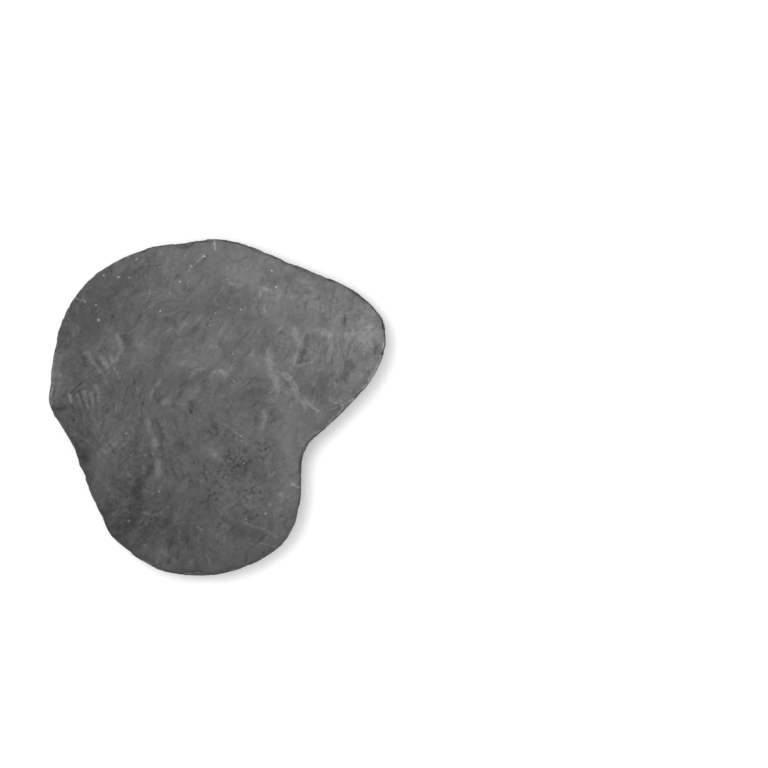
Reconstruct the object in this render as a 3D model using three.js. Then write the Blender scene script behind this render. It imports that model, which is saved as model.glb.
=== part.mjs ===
// A natural slate slab: one split and hammer-trimmed flagstone, laid flat as a stepping stone.
// Millimetres, +Z up. The origin is on the ground, under the middle of the slab's footprint.

import * as THREE from "three";

// ---- Driving dimensions ----

const THICKNESS = 30; // from the ground to the level middle of the walking face
const SLATE_COLOUR = 0x656565; // a plain neutral grey
const STATIONS = 160; // places round the edge where it is cut in section
const OUTLINE_STEPS = 2400; // short chords used to measure the length of the outline

// The trimmed outline, seen from above and followed anticlockwise from the nose on the right.
// Each point is a corner left by the hammer or part of a long sweep between two corners.
const OUTLINE_POINTS = [
  [219.2, 90], [216.5, 112], [204, 130], [190, 144], [169, 158],
  [141, 170.5], [104, 185], [38, 212], [10, 219], [-22, 219],
  [-46, 213.8], [-72, 212.5], [-115, 199.5], [-147, 182.5], [-161, 172.5],
  [-179, 153.5], [-194, 132], [-205.5, 104.5], [-216.5, 45], [-219.5, 3],
  [-214.5, -7], [-196.5, -35], [-187.5, -53], [-165, -111], [-151, -142],
  [-142, -161], [-126, -179], [-81, -208.5], [-52, -216.5], [-12, -218.5],
  [27, -210.5], [58, -197], [82, -180], [98, -157], [108, -118],
  [109.5, -72], [116, -50.5], [152, -16], [187, 20], [203.5, 41],
  [215.5, 68],
];

// The edge in section, from the ground up. The rubbed arris at the top and the rough heel at
// the bottom stand back from the widest layer, which lies a little above half height.
const EDGE_SECTION = [
  { setBack: 8, height: 0 },
  { setBack: 4, height: 2.5 },
  { setBack: 1.6, height: 7.5 },
  { setBack: 0.4, height: 12.5 },
  { setBack: 0, height: 18 },
  { setBack: 0.2, height: 23 },
  { setBack: 0.8, height: 27 },
  { setBack: 2, height: 29.3 },
  { setBack: 6, height: 29.8 },
];

// The walking face, from its rim inwards: how far out each ring reaches, and its height.
const FACE_RINGS = [
  { reach: 0.86, height: 29.9 },
  { reach: 0.62, height: THICKNESS },
];

// The hammer leaves shallow scallops, which lean as they run down the edge.
const SCALLOPS = [
  { count: 11, share: 0.22, lean: 1.9 },
  { count: 27, share: 0.16, lean: -3.4 },
];

// ---- The slab ----

// Stations evenly spaced along the outline, moved so that the footprint's middle is at the origin.
function trimmedOutline() {
  const corners = OUTLINE_POINTS.map(([x, y]) => new THREE.Vector3(x, y, 0));
  const curve = new THREE.CatmullRomCurve3(corners, true, "centripetal");
  curve.arcLengthDivisions = OUTLINE_STEPS;
  const stations = curve.getSpacedPoints(STATIONS);
  const middle = new THREE.Box3().setFromPoints(stations).getCenter(new THREE.Vector3());
  return stations.map((station) => station.sub(middle));
}

// How much deeper or shallower than the plain section the edge is cut at one place.
function scallopFactor(station, height) {
  const turn = Math.atan2(station.y, station.x);
  return SCALLOPS.reduce((factor, { count, share, lean }) => {
    const wave = Math.sin(count * turn + (lean * height) / THICKNESS);
    return factor + share * wave;
  }, 1);
}

// Where one ring of the edge passes a station: drawn in from the outline towards the middle.
function edgePoint(station, { setBack, height }) {
  const depth = setBack * scallopFactor(station, height);
  const point = station.clone().setLength(station.length() - depth);
  return point.setZ(height);
}

// Where one ring of the walking face passes a station.
function facePoint(station, { reach, height }) {
  return station.clone().multiplyScalar(reach).setZ(height);
}

// One closed stone. A lathe gives the net of faces from the middle of the underside, round the
// edge, to the middle of the walking face, and each station then moves to the outline.
function slabGeometry() {
  const outline = trimmedOutline();
  const rings = [
    () => new THREE.Vector3(0, 0, 0),
    ...EDGE_SECTION.map((ring) => (station) => edgePoint(station, ring)),
    ...FACE_RINGS.map((ring) => (station) => facePoint(station, ring)),
    () => new THREE.Vector3(0, 0, THICKNESS),
  ];
  const profile = rings.map((ring) => {
    const point = ring(outline[0]);
    return new THREE.Vector2(Math.hypot(point.x, point.y), point.z);
  });
  const geometry = new THREE.LatheGeometry(profile, STATIONS);
  const corners = geometry.attributes.position;
  outline.forEach((station, column) => {
    rings.forEach((ring, row) => {
      const point = ring(station);
      corners.setXYZ(column * rings.length + row, point.x, point.y, point.z);
    });
  });
  geometry.computeVertexNormals();
  return geometry;
}

function slateMaterial() {
  return new THREE.MeshStandardMaterial({ color: SLATE_COLOUR, roughness: 0.62, metalness: 0 });
}

function slateSlab() {
  const slab = new THREE.Mesh(slabGeometry(), slateMaterial());
  slab.name = "slate_slab";
  return slab;
}

const stone = new THREE.Group();
stone.add(slateSlab());

export default stone;
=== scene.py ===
# %% [markdown]
# # A slate slab
#
# The object is one natural stone: a slate slab, split along its cleavage into a flat plate and
# trimmed round with a hammer, used as a stepping stone. It has three kinds of surface, and each is
# made its own way below. The walking face is nearly flat and rubbed smooth. The underside is a rough
# split face. The edge between them shows the stack of thin layers that slate is made of, broken back
# one by one.
#
# A slab like this could be sculpted by hand, or a flat plate could be pushed about by displacement
# modifiers. Displacement moves points along one direction only, so it can't make the ledges of the
# edge, and sculpting can't be repeated exactly. So every surface here is worked out by a formula on
# a net of points, and chance always comes from a fixed seed: each run gives the same stone.

# %% Load the plain solid that sets the size
import math

import bpy
import numpy as np
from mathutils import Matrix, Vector, noise
from mathutils.bvhtree import BVHTree
from mathutils.geometry import delaunay_2d_cdt


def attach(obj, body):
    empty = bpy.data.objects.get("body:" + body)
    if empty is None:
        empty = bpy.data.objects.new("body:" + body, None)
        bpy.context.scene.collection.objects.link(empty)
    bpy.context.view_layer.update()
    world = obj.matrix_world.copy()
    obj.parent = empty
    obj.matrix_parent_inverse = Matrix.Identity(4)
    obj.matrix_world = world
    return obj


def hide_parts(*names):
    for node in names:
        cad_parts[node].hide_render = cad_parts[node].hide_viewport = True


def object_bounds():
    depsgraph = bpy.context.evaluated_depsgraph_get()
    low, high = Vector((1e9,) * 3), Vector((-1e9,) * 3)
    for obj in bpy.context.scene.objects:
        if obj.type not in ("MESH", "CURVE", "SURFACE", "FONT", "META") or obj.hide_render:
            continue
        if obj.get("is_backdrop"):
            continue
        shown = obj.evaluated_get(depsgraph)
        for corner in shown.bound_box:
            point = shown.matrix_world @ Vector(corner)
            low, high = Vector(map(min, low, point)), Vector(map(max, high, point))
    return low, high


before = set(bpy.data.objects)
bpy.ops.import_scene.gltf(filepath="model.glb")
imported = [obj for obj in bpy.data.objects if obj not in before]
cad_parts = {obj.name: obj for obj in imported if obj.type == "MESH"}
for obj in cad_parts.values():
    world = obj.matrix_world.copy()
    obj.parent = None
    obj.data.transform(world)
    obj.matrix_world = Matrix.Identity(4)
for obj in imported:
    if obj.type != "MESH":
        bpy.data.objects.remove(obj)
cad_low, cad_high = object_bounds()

MM = 0.001  # Blender works in metres, and this script speaks in millimetres
SOLID_NAME = "slate_slab"
thickness = (cad_high.z - cad_low.z) / MM
print(f"the solid is {(cad_high.x - cad_low.x) / MM:.0f} mm wide and {thickness:.0f} mm thick")

# %% [markdown]
# ## Clouds of chance
#
# Nearly everything on a stone comes from one idea: chance that changes smoothly from place to place.
# Blender's noise library gives it. The third coordinate is used to pick a different pattern for each
# seed. The patterns depend only on where a point lies, so they have no seam anywhere, not even where
# the row of points along the edge closes on itself.

# %% Cloudy patterns and soft steps
SEED_STRIDE = 7.31  # how far apart two seeds' patterns lie in the noise


def cloud(x, y, size, seed, octaves=1):
    """A cloudy pattern from about -1 to 1, with patches about `size` mm wide."""
    depth = seed * SEED_STRIDE
    places = zip((x / size).tolist(), (y / size).tolist())
    values = [noise.fractal(Vector((u, v, depth)), 1.0, 2.0, octaves) for u, v in places]
    return np.array(values)


def soft_step(value, low, high):
    """0 below low, 1 above high, and a smooth rise between them."""
    share = np.clip((value - low) / (high - low), 0.0, 1.0)
    return share * share * (3.0 - 2.0 * share)


def soft_patch(x, y, middle, radii, lean=0.0):
    """1 in the middle of an oval patch and falling smoothly to 0; lean turns it, in degrees."""
    turn = math.radians(lean)
    over = (x - middle[0]) * math.cos(turn) + (y - middle[1]) * math.sin(turn)
    up = (y - middle[1]) * math.cos(turn) - (x - middle[0]) * math.sin(turn)
    return np.exp(-((over / radii[0]) ** 2) - ((up / radii[1]) ** 2))


# %% [markdown]
# ## The outline, read off the solid
#
# The slab's outline is already settled in the solid, so it is measured and not drawn again. Rays shot
# in towards the middle find the side at a row of bearings. The hits lie closer together in some places
# than in others, so they are spaced anew: evenly spaced columns of points keep the small chips equally
# crisp all the way round.

# %% Shoot rays at the solid's side
COLUMNS = 1200  # columns of points round the edge
BEARINGS = 2400  # how many rays are shot
WIDEST_SHARE = 0.6  # the widest layer's height, as a share of the thickness
SECTION_SHARES = (0.04, 0.1, 0.2, 0.35, 0.6, 0.77, 0.88, 0.97)  # where the side's curve is measured
RAY_START = 1.0  # metres from the middle, well outside the slab
SMOOTH_COLUMNS = 9  # a running mean this wide hides the solid's flat facets

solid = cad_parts[SOLID_NAME]
solid_tree = BVHTree.FromObject(solid, bpy.context.evaluated_depsgraph_get())


def reach(turn, height):
    """How far the solid reaches from the middle at a bearing and height, in mm."""
    outward = Vector((math.cos(turn), math.sin(turn), 0.0))
    start = outward * RAY_START + Vector((0.0, 0.0, height * MM))
    hit = solid_tree.ray_cast(start, -outward)[0]
    return math.hypot(hit.x, hit.y) / MM


def running_mean(values, width):
    """Smooths a row of values that closes on itself."""
    window = np.ones(width) / width
    half = width // 2
    padded = np.concatenate([values[-half:], values, values[:half]])
    return np.convolve(padded, window, mode="valid")


turns = np.linspace(0.0, 2.0 * math.pi, BEARINGS, endpoint=False)
reaches = np.array([reach(turn, WIDEST_SHARE * thickness) for turn in turns])
hit_x = np.append(reaches * np.cos(turns), reaches[0])
hit_y = np.append(reaches * np.sin(turns), 0.0)
lengths = np.concatenate([[0.0], np.cumsum(np.hypot(np.diff(hit_x), np.diff(hit_y)))])
perimeter = lengths[-1]
along = np.linspace(0.0, perimeter, COLUMNS, endpoint=False)
rim_x = running_mean(np.interp(along, lengths, hit_x), SMOOTH_COLUMNS)
rim_y = running_mean(np.interp(along, lengths, hit_y), SMOOTH_COLUMNS)
print(f"the edge is {perimeter:.0f} mm round, with a column of points every {along[1]:.2f} mm")

# %% Which way is inwards, and how the side curves from top to bottom
LEAST_SQUARE_ON = 0.6  # where the outline runs nearly towards the middle, stretching stops here
SECTION_SMOOTH = 3 * SMOOTH_COLUMNS

rim_reach = np.hypot(rim_x, rim_y)
rim_turn = np.arctan2(rim_y, rim_x)
tangent_x = running_mean(np.roll(rim_x, -1) - np.roll(rim_x, 1), SMOOTH_COLUMNS)
tangent_y = running_mean(np.roll(rim_y, -1) - np.roll(rim_y, 1), SMOOTH_COLUMNS)
square_on = (rim_x * tangent_y - rim_y * tangent_x) / np.hypot(tangent_x, tangent_y) / rim_reach
stretch = 1.0 / np.clip(square_on, LEAST_SQUARE_ON, 1.0)

section_heights = np.array(SECTION_SHARES) * thickness
section_rows = []
for section_height in section_heights:
    row = np.array([reach(turn, section_height) for turn in rim_turn])
    section_rows.append(running_mean((rim_reach - row) / stretch, SECTION_SMOOTH))
section = np.clip(np.array(section_rows), 0.0, None)


def plain_set_back(height):
    """How far the solid's side stands back from the outline at a height, for every column."""
    return np.array([np.interp(height, section_heights, section[:, c]) for c in range(COLUMNS)])


def drawn_in(set_back):
    """The points of a ring that stands back from the outline by so many mm, square to the edge."""
    share = 1.0 - set_back * stretch / rim_reach
    return rim_x * share, rim_y * share


foot_set_back, top_set_back = section[0].mean(), section[-1].mean()
print(f"the side stands back {foot_set_back:.1f} mm at the foot and {top_set_back:.1f} mm at the top")

# %% [markdown]
# ## The walking face
#
# A split slate face isn't quite flat. It swells and dips very slightly over a hand's width, it drops
# by a fraction of a millimetre where one thin layer ended and the next begins, and where the splitting
# chisel's shock ran through, it carries faint curved ribs. Wear has rounded all of it and drops it
# towards the rim. Each of these is one term in a sum.

# %% Curved ribs
# what a set of ribs bends round, the oval patch it fills, mm from rib to rib, and its seed
FANS = (
    ((-226.0, 6.0), ((-147.0, 52.0), (32.0, 19.0), -25.0), 9.6, 40),
    ((-232.0, -24.0), ((-172.0, -2.0), (32.0, 26.0), 0.0), 9.0, 43),
)
RIB_SWAY = 4.0  # mm that a rib strays in clouds 45 mm wide, and in clouds 12 mm wide
RIB_WOBBLE = 1.5


def rib_wave(x, y, middle, spacing, seed):
    """Curved ribs round a middle: 1 on a rib's crest and -1 between two ribs."""
    wander = RIB_SWAY * cloud(x, y, 45.0, seed) + RIB_WOBBLE * cloud(x, y, 12.0, seed + 1)
    distance = np.hypot(x - middle[0], y - middle[1]) + wander
    return np.cos(2.0 * math.pi * distance / spacing)


def ribs(x, y):
    """Both sets of ribs, each within its own patch of the face."""
    total = np.zeros_like(x)
    for middle, patch, spacing, seed in FANS:
        total += soft_patch(x, y, *patch) * rib_wave(x, y, middle, spacing, seed)
    return total


# %% Heights of the walking face
SWELL = 0.5  # mm, as are the next four
RIPPLE = 0.2
FINE_RIPPLE = 0.05
RIB_RISE = 0.09
STEP_DROP = 0.55  # from one terrace down to the next
SWELL_SHIFT = 0.6  # share of the swell that sinks the whole face, to keep it within the solid
TERRACE_EDGES = ((-0.295, -0.265), (0.265, 0.295))  # where in the clouds a terrace's step begins and ends
RAGGED = 0.16  # how far small clouds fray the terraces' borders, as a share of the large ones
RIM_FALL = 0.75  # mm that the worn face drops at its very rim
RIM_FALL_REACH = 9.0  # mm over which most of that drop happens


def terraces(x, y):
    """How many thin layers have come off the face at each place: none, one or two."""
    shape = cloud(x, y, 150.0, 11, 3) + RAGGED * cloud(x, y, 18.0, 12, 2)
    first, second = [soft_step(shape, begins, ends) for begins, ends in TERRACE_EDGES]
    return 2.0 - first - second


def face_height(x, y, to_rim):
    """Height of the walking face in mm above the ground."""
    swell = SWELL * (cloud(x, y, 150.0, 1) - SWELL_SHIFT)
    ripple = RIPPLE * cloud(x, y, 38.0, 2, 2) + FINE_RIPPLE * cloud(x, y, 9.0, 3, 2)
    steps = STEP_DROP * terraces(x, y)
    rim_drop = RIM_FALL * np.exp(-to_rim / RIM_FALL_REACH)
    return thickness + swell + ripple + RIB_RISE * ribs(x, y) - steps - rim_drop


# %% [markdown]
# ## The underside
#
# The bed face was split too, but nobody walked it smooth: its terraces are taller and its ripples
# closer together. The slab has to lie still, so the relief only ever goes up from the ground, and the
# parts that touch the ground are broad.

# %% Heights of the underside
BED_RAGGED = 0.18  # how far small clouds fray the terraces' borders here
BED_RIPPLE = 0.18  # mm
TROUGH = -0.4  # a ripple is cut off flat here, and rests on the ground
# where in the clouds a terrace begins and is full, and how many mm it rises
BED_TERRACES = ((0.02, 0.06, 0.8), (0.34, 0.38, 0.7))


def bed_height(x, y):
    """Height of the underside in mm above the ground, never below it."""
    shape = cloud(x, y, 120.0, 21, 3) + BED_RAGGED * cloud(x, y, 16.0, 22, 2)
    height = BED_RIPPLE * (np.clip(cloud(x, y, 24.0, 23, 2), TROUGH, None) - TROUGH)
    for begins, is_full, rise in BED_TERRACES:
        height += rise * soft_step(shape, begins, is_full)
    return height


# %% [markdown]
# ## The layered edge
#
# Along the edge the hammer broke the slate layer by layer. Each layer ends in its own ragged line, a
# little ahead of or behind its neighbours, so the side is a stack of tiny ledges. The stack could be
# modelled as loose plates, but it is one stone, so it is one skin: three rows of points for each
# layer. The foot and the head row mark its lower and upper arris, and a third row between two layers
# lies at the back of the ledge, where the layers are still joined.

# %% The layers and their waves
LAYERS = 13
THINNEST = 0.45  # how thick one layer is beside the others, which is a matter of chance
THICKEST = 1.5
TOP_SHARE = 0.62  # but the top layer is always thin, and the lowest one middling
LOWEST_SHARE = 0.9
LONG_WAVE = 0.55  # mm up and down that all layers share, over a long way and over a short one
SHORT_WAVE = 0.2
OWN_WAVE = 0.3  # mm that each layer adds of its own
CALM_SHARE = 1.6  # how soon the waves grow full, away from the two faces

dice = np.random.default_rng(2024)
layer_share = dice.uniform(THINNEST, THICKEST, LAYERS)
layer_share[-1] = TOP_SHARE
layer_share[0] = LOWEST_SHARE
boundary_height = thickness * np.concatenate([[0.0], np.cumsum(layer_share)]) / layer_share.sum()
common_wave = LONG_WAVE * cloud(rim_x, rim_y, 130.0, 31) + SHORT_WAVE * cloud(rim_x, rim_y, 40.0, 32)


def boundary(number):
    """The wavy line between two layers, as a height for every column."""
    own_wave = OWN_WAVE * cloud(rim_x, rim_y, 55.0, 60 + number)
    nearness = min(number, LAYERS - number) / (LAYERS / 2)
    return boundary_height[number] + (common_wave + own_wave) * min(1.0, CALM_SHARE * nearness)


print("layers, in mm:", np.round(np.diff(boundary_height), 1).tolist())


# %% [markdown]
# Slate breaks in lengths. Within one length a layer's end runs smoothly, and then it jumps. The edge
# is cut into lengths at random for each layer, and again for pairs of layers, because neighbours
# often break off together. Wider lengths right through the slab are the marks of single hammer
# blows: each is a shallow hollow with a ridge on both sides.

# %% Random lengths along the edge
JUMP_COLUMNS = 3  # columns that a jump is spread over


def lengths_of_edge(shortest, longest, seed, shift=0.0):
    """Cuts the edge into random lengths.

    Gives the number of each column's length, the column's share along it, and a random value from
    0 to 1 for each length.
    """
    own_dice = np.random.default_rng(seed)
    cuts = [0.0]
    while cuts[-1] < perimeter:
        cuts.append(cuts[-1] + own_dice.uniform(shortest, longest))
    cuts = np.array(cuts) * perimeter / cuts[-1]
    shifted = (along + shift) % perimeter
    number = np.searchsorted(cuts, shifted, side="right") - 1
    share = (shifted - cuts[number]) / (cuts[number + 1] - cuts[number])
    return number, share, own_dice.uniform(0.0, 1.0, len(cuts))


def broken_line(shortest, longest, seed, shift=0.0):
    """From 0 to 1 for each column: slanting along each length, with a steep jump to the next one."""
    number, share, value = lengths_of_edge(shortest, longest, seed, shift)
    slant = np.random.default_rng(seed + 1).uniform(-0.5, 0.5, len(value))
    line = np.clip(value[number] + slant[number] * (share - 0.5), 0.0, 1.0)
    return running_mean(line, JUMP_COLUMNS)


# %% Break the layers back
ARRIS_START = 27.5  # mm; above this the solid's rounding is left out, because the layers are crisp
BLOW_TOP = 0.3  # mm that a blow hollows out at the top, and how much more at the bottom
BLOW_BELOW = 2.0
BLOW_TILT = 1.6  # mm that one blow undercuts the slab or slopes it, about the height where it pivots
BLOW_PIVOT = 0.4  # that height, as a share of the thickness below the top
BLOW_LEAN = 14.0  # mm that a blow's hollow slants along the edge, from the top to the bottom
PAIR_STEP = 1.5  # mm from one length of a pair of layers to the next, at most
PAIR_LEAN = 3.0  # mm that the upper layer of a pair breaks off further along
SINGLE_STEP = 1.15  # the same for a single layer
ROUGHNESS = 0.3  # mm
TOP_CALM = 0.3  # the top layer broke most evenly, and each one below it less so
CALM_LOSS = 0.35

set_back = np.zeros((LAYERS, COLUMNS))
for layer in range(LAYERS):
    height = 0.5 * (boundary_height[layer] + boundary_height[layer + 1])
    below = 1.0 - height / thickness
    calm = min(1.0, TOP_CALM + CALM_LOSS * (LAYERS - 1 - layer))
    base = plain_set_back(min(height, ARRIS_START))
    blow, blow_share, blow_depth = lengths_of_edge(22.0, 64.0, 301, BLOW_LEAN * below)
    blow_tilt = np.random.default_rng(302).uniform(-1.0, 1.0, len(blow_depth))
    hollow = 4.0 * blow_share * (1.0 - blow_share)
    blows = (BLOW_TOP + BLOW_BELOW * below) * blow_depth[blow] * hollow
    tilts = BLOW_TILT * blow_tilt[blow] * (below - BLOW_PIVOT)
    pair = broken_line(14.0, 64.0, 400 + 7 * (layer // 2), PAIR_LEAN * (layer % 2))
    single = broken_line(5.0, 38.0, 500 + 7 * layer)
    rough = ROUGHNESS * cloud(rim_x, rim_y, 4.5, 600 + layer, 3)
    set_back[layer] = base + blows + tilts + calm * (PAIR_STEP * pair + SINGLE_STEP * single) + rough

print(f"layer ends stand back {set_back.min():.1f} to {set_back.max():.1f} mm")


# %% [markdown]
# ## Chips and flakes
#
# Both arrises are chipped. A chip takes a bite with a rounded back out of the outer layer, and a
# shallower bite out of each layer behind it. Most chips are small and fall anywhere. A few are listed one
# by one, where the rim of this stone is worn away for a centimetre or more. Flakes have also sprung off
# the middle of the edge, a few layers at a time.

# %% Take the chips out of the layers
BACK_CURVE = 1.8  # the higher it is, the flatter the back of a bite
END_CURVE = 0.7  # the lower it is, the steeper its ends


def bite(middle, half_length, skew=0.0):
    """A hollow bite along the edge: 1 where it is deepest and 0 past its ends."""
    away = (along - middle + 0.5 * perimeter) % perimeter - 0.5 * perimeter
    share = np.clip(away / half_length, -1.0, 1.0)
    share = share + skew * (1.0 - share * share)
    return np.clip(1.0 - np.abs(share) ** BACK_CURVE, 0.0, None) ** END_CURVE


def chip(outer_layer, step, shape, depth, reach_in_layers):
    """Breaks a chip out of an arris, going into the stack one layer at a time."""
    for number in range(reach_in_layers):
        fade = 1.0 - number / reach_in_layers
        set_back[outer_layer + step * number] += depth * fade * shape


def place_on_edge(x, y):
    """How far along the edge the point nearest to a place lies."""
    return along[np.argmin((rim_x - x) ** 2 + (rim_y - y) ** 2)]


FULL_DEPTH_LENGTH = 7.0  # mm of half length from which a chip can be as deep as any
# the outer layer, the way into the stack, how many chips, and the deepest one in mm
CHIPPED_ARRISES = ((LAYERS - 1, -1, 110, 2.0), (0, 1, 70, 5.0))

chip_dice = np.random.default_rng(77)
for outer, step, count, deepest in CHIPPED_ARRISES:
    for _ in range(count):
        half_length = chip_dice.uniform(2.0, 13.0)
        shape = bite(chip_dice.uniform(0.0, perimeter), half_length, chip_dice.uniform(-0.5, 0.5))
        depth = deepest * chip_dice.uniform(0.15, 1.0) * min(1.0, half_length / FULL_DEPTH_LENGTH)
        chip(outer, step, shape, depth, int(chip_dice.integers(1, 4)))

# the nearest place to it, half its length and its depth in mm, and how many layers deep it goes
WORN_STRETCHES = (
    ((188.0, 145.0), 30.0, 0.9, 2),
    ((-208.0, -16.0), 24.0, 3.2, 2),
    ((-188.0, -52.0), 12.0, 2.6, 2),
    ((-150.0, -143.0), 9.0, 2.4, 3),
    ((-46.0, 213.0), 9.0, 2.2, 2),
    ((216.0, 72.0), 6.0, 1.8, 2),
    ((117.0, -48.0), 20.0, 1.8, 1),
    ((120.0, 179.0), 18.0, 1.3, 1),
    ((-198.0, 122.0), 30.0, 1.6, 1),
    ((-124.0, -181.0), 16.0, 1.6, 2),
)
for (x, y), half_length, depth, reach_in_layers in WORN_STRETCHES:
    chip(LAYERS - 1, -1, bite(place_on_edge(x, y), half_length), depth, reach_in_layers)

# %% Flakes sprung off the middle of the edge
FLAKES = 90
OUTERMOST_COLUMNS = 41  # over this many columns the outermost layer is brought back to the outline
PROUDEST = -0.4  # mm; a layer stands no more than this past the outline, and no more than
DEEPEST = 14.0  # this behind it

flake_dice = np.random.default_rng(88)
for _ in range(FLAKES):
    middle = flake_dice.uniform(0.0, perimeter)
    first = int(flake_dice.integers(1, LAYERS - 3))
    shape = bite(middle, flake_dice.uniform(4.0, 24.0), flake_dice.uniform(-0.7, 0.7))
    depth = flake_dice.uniform(0.4, 2.4)
    for layer in range(first, first + int(flake_dice.integers(1, 4))):
        set_back[layer] += depth * shape

set_back -= running_mean(set_back.min(axis=0), OUTERMOST_COLUMNS)
set_back = np.clip(set_back, PROUDEST, DEEPEST)
print(f"after chipping: {set_back.min():.1f} to {set_back.max():.1f} mm")

# %% [markdown]
# ## Rows of points up the edge
#
# Now the stack becomes rings of points, from the underside to the walking face. Open splits are added
# here: in places two layers have begun to part, and the row between them lies deeper.

# %% Stack the rings
ARRIS = 0.35  # mm that a worn arris takes off the height of the layer
RIM_INSET = 0.75  # mm from the top layer's edge to the rim of the walking face
BED_INSET = 1.1  # the same for the underside
RIM_DEPTH = 0.6  # mm from the rim at which the face's height is taken for the rim's points
LEDGE_GAP = 0.07  # mm between a layer's arris and the line between it and the next layer
LAYER_LEAN = 0.22  # mm that a layer's broken end leans in or out
LEDGE_DEPTH = 0.12  # mm that the back of a ledge lies behind both its layers
LEAST_LEDGE = 0.2  # mm that it lies behind the upper layer before that is added
SPLIT_DEPTH = 1.5  # mm that an open split goes in
SPLIT_BEGINS = 0.18  # where in its cloud a split begins, and where it is fully open
SPLIT_OPEN = 0.42

rings = []


def add_ring(set_back_row, height_row):
    """Adds one ring of points, given how far it stands back and how high it is at each column."""
    x, y = drawn_in(set_back_row)
    rings.append(np.column_stack([x, y, height_row]))


def face_at(set_back_row):
    """Height of the walking face just inside a ring that stands back this far."""
    x, y = drawn_in(set_back_row)
    return face_height(x, y, np.full(COLUMNS, RIM_DEPTH))


def bed_at(set_back_row):
    """Height of the underside just inside a ring that stands back this far."""
    x, y = drawn_in(set_back_row)
    return bed_height(x, y)


add_ring(set_back[0] + BED_INSET, bed_at(set_back[0] + BED_INSET))
for layer in range(LAYERS):
    lean = LAYER_LEAN * cloud(rim_x, rim_y, 14.0, 700 + layer)
    foot = boundary(layer) + LEDGE_GAP
    head = boundary(layer + 1) - LEDGE_GAP
    if layer == 0:
        foot = bed_at(set_back[0]) + ARRIS
    if layer == LAYERS - 1:
        head = face_at(set_back[layer]) - ARRIS
    add_ring(set_back[layer] - lean, foot)
    add_ring(set_back[layer] + lean, head)
    if layer < LAYERS - 1:
        openness = soft_step(cloud(rim_x, rim_y, 42.0, 800 + layer, 2), SPLIT_BEGINS, SPLIT_OPEN)
        behind = np.maximum(set_back[layer] + lean, set_back[layer + 1] + LEAST_LEDGE)
        add_ring(behind + LEDGE_DEPTH + SPLIT_DEPTH * openness, boundary(layer + 1))
add_ring(set_back[-1] + RIM_INSET, face_at(set_back[-1] + RIM_INSET))
print(len(rings), "rings of", COLUMNS, "points")

# %% [markdown]
# ## Filling the two faces
#
# The faces need an even net of points, so that their swells and steps come out equally fine all over.
# Rings drawn in towards the middle would crowd there. A honeycomb of points is even everywhere, and a
# Delaunay triangulation joins it to the ring of points at the rim, however ragged that rim is.

# %% A honeycomb of points inside a ring
FACE_SPACING = 1.93  # mm from point to point
BED_SPACING = 4.3
JITTER = 0.16  # share of the spacing by which a point strays, so that no row shows
RIM_CLEARANCE = 0.8  # share of the spacing that is kept free inside the ring


def honeycomb(ring, spacing):
    """Evenly spaced points inside a ring, none too near to it."""
    ring_turn = np.arctan2(ring[:, 1], ring[:, 0])
    ring_reach = np.hypot(ring[:, 0], ring[:, 1])
    order = np.argsort(ring_turn)
    rows = np.arange(ring[:, 1].min(), ring[:, 1].max(), spacing * math.sqrt(0.75))
    points = []
    for number, y in enumerate(rows):
        x = np.arange(ring[:, 0].min() + spacing * 0.5 * (number % 2), ring[:, 0].max(), spacing)
        points.append(np.column_stack([x, np.full_like(x, y)]))
    points = np.concatenate(points)
    jitter = np.random.default_rng(5).uniform(-JITTER, JITTER, points.shape)
    points = points + jitter * spacing
    turn = np.arctan2(points[:, 1], points[:, 0])
    limit = np.interp(turn, ring_turn[order], ring_reach[order], period=2.0 * math.pi)
    return points[np.hypot(points[:, 0], points[:, 1]) < limit - RIM_CLEARANCE * spacing]


INSIDE_ONLY = 1  # the kind of result: triangles inside the loop alone
SAME_POINT = 1e-7  # mm; points nearer than this would be merged


def fill(ring, inner):
    """Joins a ring and the points inside it with triangles that face up."""
    flat = [Vector(point) for point in np.concatenate([ring[:, :2], inner]).tolist()]
    loop = [list(range(len(ring)))]
    return delaunay_2d_cdt(flat, [], loop, INSIDE_ONLY, SAME_POINT)[2]


BLOCK = 4000  # points measured at a time, to save memory


def distance_to_rim(points, ring):
    """How far each point lies from the nearest point of a ring."""
    nearest = np.empty(len(points))
    for start in range(0, len(points), BLOCK):
        block = points[start:start + BLOCK]
        across = block[:, None, 0] - ring[None, :, 0]
        up = block[:, None, 1] - ring[None, :, 1]
        nearest[start:start + BLOCK] = np.sqrt((across**2 + up**2).min(axis=1))
    return nearest


# %% Fill both faces
face_ring, bed_ring = rings[-1], rings[0]
face_inner = honeycomb(face_ring, FACE_SPACING)
bed_inner = honeycomb(bed_ring, BED_SPACING)
face_triangles = fill(face_ring, face_inner)
bed_triangles = fill(bed_ring, bed_inner)
face_to_rim = distance_to_rim(face_inner, face_ring)
face_z = face_height(face_inner[:, 0], face_inner[:, 1], face_to_rim + RIM_DEPTH)
bed_z = bed_height(bed_inner[:, 0], bed_inner[:, 1])
print(len(face_triangles), "triangles on the face and", len(bed_triangles), "underneath")

# %% Join rings and faces in one skin
SHARP_ANGLE = math.radians(38.0)  # a fold steeper than this is a crisp arris, and others look rounded

ring_points = np.concatenate(rings)
face_start = len(ring_points)
bed_start = face_start + len(face_inner)
points = np.concatenate([
    ring_points,
    np.column_stack([face_inner, face_z]),
    np.column_stack([bed_inner, bed_z]),
])


def numbered(triangles, ring_start, inner_start):
    """Turns a face's own point numbers into the whole skin's numbers."""
    table = np.concatenate([
        np.arange(COLUMNS) + ring_start,
        np.arange(len(points)) + inner_start,
    ])
    return table[np.array(triangles)]


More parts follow.
